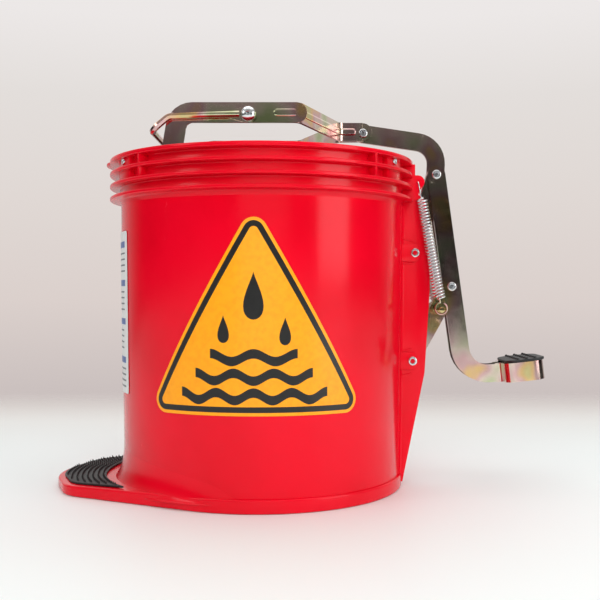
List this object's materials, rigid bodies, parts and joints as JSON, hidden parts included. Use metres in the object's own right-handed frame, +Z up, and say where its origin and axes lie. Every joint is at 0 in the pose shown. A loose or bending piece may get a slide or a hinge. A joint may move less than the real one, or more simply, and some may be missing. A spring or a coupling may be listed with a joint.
{
  "type": "pedal wringer bucket",
  "caption": "Round moulded mop bucket with a foot plate, a pedal linkage and a sliding frame that squeezes a mop between rollers, and a carrying bail.",
  "frame": {"origin": "on the bucket's axis, at floor level", "axes": "+Z up, +X from the bucket's axis towards the pedal, +Y completes the right-handed frame, away from the side with the large floor sign"},
  "size_m": [0.5037, 0.313, 0.3753],
  "materials": {
    "bucket_plastic": "glossy moulded red plastic, faint moulding grain",
    "foot_rubber": "matt black studded rubber",
    "pedal_rubber": "matt black studded rubber",
    "yellow_zinc": "yellow passivated zinc plate with a faint rainbow",
    "hook_zinc": "yellow passivated zinc plate",
    "bright_zinc": "bright zinc plate",
    "roller_plastic": "satin moulded grey plastic",
    "sign_film": "printed self-adhesive film in amber and black",
    "label_film": "printed self-adhesive film, white with plain bars"
  },
  "bodies": {
    "bucket": {"bucket_body": "bucket_plastic", "foot_grip": "foot_rubber", "floor_sign": "sign_film", "info_label": "label_film", "side_rail_near": "yellow_zinc", "side_rail_far": "yellow_zinc", "frame_screw_front_near": "bright_zinc", "frame_screw_front_far": "bright_zinc", "frame_screw_rear_near": "bright_zinc", "frame_screw_rear_far": "bright_zinc", "frame_nut_front_near": "bright_zinc", "frame_nut_front_far": "bright_zinc", "frame_nut_rear_near": "bright_zinc", "frame_nut_rear_far": "bright_zinc", "fixed_axle_upper": "bright_zinc", "fixed_axle_lower": "bright_zinc", "upper_pivot_rivet": "bright_zinc", "lower_pivot_rivet": "bright_zinc", "pivot_bush_upper_near": "bright_zinc", "pivot_bush_upper_far": "bright_zinc", "pivot_bush_lower_near": "bright_zinc", "pivot_bush_lower_far": "bright_zinc"},
    "lower_crank": {"lower_crank_near": "yellow_zinc", "lower_crank_far": "yellow_zinc", "pedal_mid_rivet": "bright_zinc", "spring_pin": "yellow_zinc"},
    "upper_crank": {"upper_crank_near": "yellow_zinc", "upper_crank_far": "yellow_zinc"},
    "pedal": {"pedal_strip": "yellow_zinc", "pedal_grip": "pedal_rubber", "pedal_top_rivet": "bright_zinc"},
    "pull_frame": {"frame_arm_near": "yellow_zinc", "frame_arm_far": "yellow_zinc", "frame_rivet": "bright_zinc", "bail_rivet_near": "bright_zinc", "bail_rivet_far": "bright_zinc", "moving_axle_upper": "bright_zinc", "moving_axle_lower": "bright_zinc", "axle_cap_upper_near": "bright_zinc", "axle_cap_upper_far": "bright_zinc", "axle_cap_lower_near": "bright_zinc", "axle_cap_lower_far": "bright_zinc"},
    "top_link": {"top_link": "yellow_zinc"},
    "bail": {"bail": "yellow_zinc"},
    "spring_near": {"spring_coil_near": "bright_zinc"},
    "spring_far": {"spring_coil_far": "bright_zinc"},
    "spring_hook_near": {"spring_hook_near": "hook_zinc"},
    "spring_hook_far": {"spring_hook_far": "hook_zinc"},
    "fixed_roller_upper": {"fixed_roller_upper": "roller_plastic"},
    "fixed_roller_lower": {"fixed_roller_lower": "roller_plastic"},
    "moving_roller_upper": {"moving_roller_upper": "roller_plastic"},
    "moving_roller_lower": {"moving_roller_lower": "roller_plastic"}
  },
  "joints": [
    {"name": "lower_crank_swing", "type": "hinge", "parent": "bucket", "child": "lower_crank", "pos_m": [0.1549, 0, 0.1283], "axis": [0, 1, 0], "range_deg": [0, 20], "stiffness_Nm_per_rad": 4, "springref_deg": -14.32},
    {"name": "upper_crank_swing", "type": "hinge", "parent": "bucket", "child": "upper_crank", "pos_m": [0.1573, 0, 0.2392], "axis": [0, 1, 0], "range_deg": [0, 26.1]},
    {"name": "pedal_swing", "type": "hinge", "parent": "lower_crank", "child": "pedal", "pos_m": [0.1973, 0, 0.2048], "axis": [0, 1, 0], "range_deg": [-15.1, 0]},
    {"name": "frame_slide", "type": "slide", "parent": "bucket", "child": "pull_frame", "axis": [1, 0, 0], "range_m": [0, 0.0467]},
    {"name": "top_link_swing", "type": "hinge", "parent": "pull_frame", "child": "top_link", "pos_m": [0.1051, 0, 0.3644], "axis": [0, 1, 0], "range_deg": [0, 14.1]},
    {"name": "bail_swing", "type": "hinge", "parent": "pull_frame", "child": "bail", "pos_m": [-0.0083, 0, 0.3635], "axis": [0, 1, 0], "range_deg": [0, 175]},
    {"name": "spring_swing_near", "type": "hinge", "parent": "bucket", "child": "spring_near", "pos_m": [0.1598, -0.0265, 0.3116], "axis": [0, 1, 0], "range_deg": [-5.7, 0]},
    {"name": "spring_draw_near", "type": "slide", "parent": "spring_near", "child": "spring_hook_near", "axis": [0.1822, 0, -0.9833], "range_m": [0, 0.0172]},
    {"name": "spring_swing_far", "type": "hinge", "parent": "bucket", "child": "spring_far", "pos_m": [0.1598, 0.0265, 0.3116], "axis": [0, 1, 0], "range_deg": [-5.7, 0]},
    {"name": "spring_draw_far", "type": "slide", "parent": "spring_far", "child": "spring_hook_far", "axis": [0.1822, 0, -0.9833], "range_m": [0, 0.0172]},
    {"name": "fixed_roller_spin_upper", "type": "hinge", "parent": "bucket", "child": "fixed_roller_upper", "pos_m": [0.008, 0, 0.303], "axis": [0, 1, 0], "continuous": true},
    {"name": "moving_roller_spin_upper", "type": "hinge", "parent": "pull_frame", "child": "moving_roller_upper", "pos_m": [-0.0795, 0, 0.303], "axis": [0, 1, 0], "continuous": true},
    {"name": "fixed_roller_spin_lower", "type": "hinge", "parent": "bucket", "child": "fixed_roller_lower", "pos_m": [0.008, 0, 0.268], "axis": [0, 1, 0], "continuous": true},
    {"name": "moving_roller_spin_lower", "type": "hinge", "parent": "pull_frame", "child": "moving_roller_lower", "pos_m": [-0.0795, 0, 0.268], "axis": [0, 1, 0], "continuous": true}
  ],
  "couplings": [
    {"joint": "upper_crank_swing", "follows": "lower_crank_swing", "ratio": 1.3},
    {"joint": "pedal_swing", "follows": "lower_crank_swing", "ratio": -0.75},
    {"joint": "frame_slide", "follows": "lower_crank_swing", "m_per_rad": 0.1336},
    {"joint": "top_link_swing", "follows": "lower_crank_swing", "ratio": 0.7},
    {"joint": "spring_swing_near", "follows": "lower_crank_swing", "ratio": -0.28},
    {"joint": "spring_draw_near", "follows": "lower_crank_swing", "m_per_rad": 0.049},
    {"joint": "spring_swing_far", "follows": "lower_crank_swing", "ratio": -0.28},
    {"joint": "spring_draw_far", "follows": "lower_crank_swing", "m_per_rad": 0.049}
  ]
}
